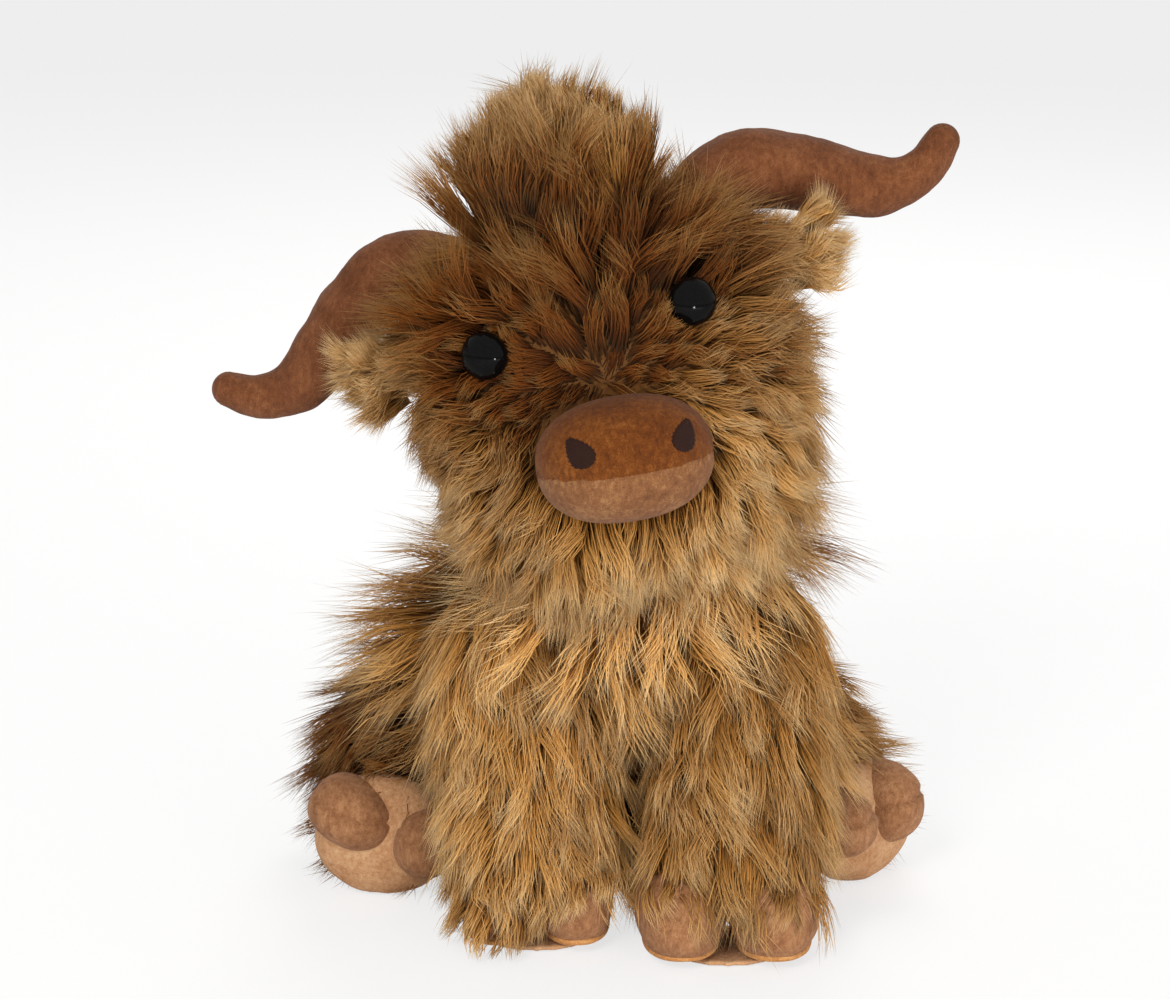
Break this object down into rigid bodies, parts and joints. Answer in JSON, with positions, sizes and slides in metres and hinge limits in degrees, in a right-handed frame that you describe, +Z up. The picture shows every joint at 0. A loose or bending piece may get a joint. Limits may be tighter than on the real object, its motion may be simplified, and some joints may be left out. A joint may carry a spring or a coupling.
{
  "type": "plush cow",
  "caption": "Sitting long-haired plush cow with drooping velour horns, padded velour muzzle and hooves, a tilted head and limbs that flop at their seams.",
  "frame": {"origin": "middle of the flat seat under the body", "axes": "+Z up; the cow faces -Y; +X is to the right of somebody who looks at its face"},
  "size_m": [0.2368, 0.2512, 0.2727],
  "materials": {
    "long_fur": "long-pile plush, dark brown at the roots and pale at the tips",
    "dark_fur": "longer, darker long-pile plush",
    "stuffing": "loose polyester fibre",
    "pouch_cloth": "woven bag of pellets",
    "horn_velour": "short-pile velour",
    "muzzle_velour": "short-pile velour",
    "chin_velour": "short-pile velour",
    "nostril_thread": "satin-stitch embroidery",
    "eye_plastic": "polished black",
    "washer_plastic": "plain moulded",
    "sole_velour": "short-pile velour",
    "hoof_velour": "short-pile velour"
  },
  "bodies": {
    "torso": {"torso_cover": "long_fur", "torso_filling": "stuffing", "pellet_pouch": "pouch_cloth"},
    "neck": {"neck_filling": "stuffing"},
    "head": {"head_cover": "long_fur", "head_filling": "stuffing", "muzzle_upper": "muzzle_velour", "muzzle_lower": "chin_velour", "muzzle_filling": "stuffing", "nostril_left": "nostril_thread", "nostril_right": "nostril_thread", "eye_left": "eye_plastic", "eye_right": "eye_plastic", "eye_washer_left": "washer_plastic", "eye_washer_right": "washer_plastic", "forelock": "dark_fur"},
    "horn_left": {"horn_cover_left": "horn_velour", "horn_filling_left": "stuffing"},
    "horn_right": {"horn_cover_right": "horn_velour", "horn_filling_right": "stuffing"},
    "ear_left": {"ear_left": "long_fur"},
    "ear_right": {"ear_right": "long_fur"},
    "front_leg_left": {"front_leg_left": "long_fur", "front_leg_filling_left": "stuffing", "front_toe_outer_left": "hoof_velour", "front_toe_inner_left": "hoof_velour", "front_sole_left": "sole_velour"},
    "front_leg_right": {"front_leg_right": "long_fur", "front_leg_filling_right": "stuffing", "front_toe_outer_right": "hoof_velour", "front_toe_inner_right": "hoof_velour", "front_sole_right": "sole_velour"},
    "hind_leg_left": {"hind_leg_left": "long_fur", "hind_leg_filling_left": "stuffing", "hind_toe_outer_left": "hoof_velour", "hind_toe_inner_left": "hoof_velour", "hind_sole_left": "sole_velour"},
    "hind_leg_right": {"hind_leg_right": "long_fur", "hind_leg_filling_right": "stuffing", "hind_toe_outer_right": "hoof_velour", "hind_toe_inner_right": "hoof_velour", "hind_sole_right": "sole_velour"},
    "tail": {"tail": "long_fur", "tail_tuft": "dark_fur"}
  },
  "joints": [
    {"name": "neck_tilt", "type": "hinge", "parent": "torso", "child": "neck", "pos_m": [0.008, -0.05, 0.126], "axis": [0, 1, 0], "range_deg": [-7, 35]},
    {"name": "neck_turn", "type": "hinge", "parent": "neck", "child": "head", "pos_m": [0.008, -0.05, 0.126], "axis": [-0.2588, 0, 0.9659], "range_deg": [-25, 25]},
    {"name": "shoulder_left", "type": "hinge", "parent": "torso", "child": "front_leg_left", "pos_m": [-0.0365, -0.057, 0.094], "axis": [-1, 0, 0], "range_deg": [-8, 45]},
    {"name": "shoulder_right", "type": "hinge", "parent": "torso", "child": "front_leg_right", "pos_m": [0.0365, -0.057, 0.094], "axis": [-1, 0, 0], "range_deg": [-8, 45]},
    {"name": "hip_left", "type": "hinge", "parent": "torso", "child": "hind_leg_left", "pos_m": [-0.0605, 0.012, 0.044], "axis": [-1, 0, 0], "range_deg": [-12, 35]},
    {"name": "hip_right", "type": "hinge", "parent": "torso", "child": "hind_leg_right", "pos_m": [0.0365, 0.004, 0.044], "axis": [-1, 0, 0], "range_deg": [-12, 35]},
    {"name": "horn_bend_left", "type": "hinge", "parent": "head", "child": "horn_left", "pos_m": [-0.05497, -0.056, 0.20644], "axis": [0, 1, 0], "range_deg": [-10, 10], "stiffness_Nm_per_rad": 0.12},
    {"name": "horn_bend_right", "type": "hinge", "parent": "head", "child": "horn_right", "pos_m": [0.02231, -0.056, 0.22715], "axis": [0, -1, 0], "range_deg": [-10, 10], "stiffness_Nm_per_rad": 0.12},
    {"name": "ear_flap_left", "type": "hinge", "parent": "head", "child": "ear_left", "pos_m": [-0.06854, -0.079, 0.18831], "axis": [0, 1, 0], "range_deg": [-8, 25], "stiffness_Nm_per_rad": 0.02},
    {"name": "ear_flap_right", "type": "hinge", "parent": "head", "child": "ear_right", "pos_m": [0.04312, -0.079, 0.21823], "axis": [0, -1, 0], "range_deg": [-8, 25], "stiffness_Nm_per_rad": 0.02},
    {"name": "tail_swing", "type": "hinge", "parent": "torso", "child": "tail", "pos_m": [-0.012, 0.0451, 0.05], "axis": [0, 0, 1], "range_deg": [-30, 30], "stiffness_Nm_per_rad": 0.01}
  ]
}
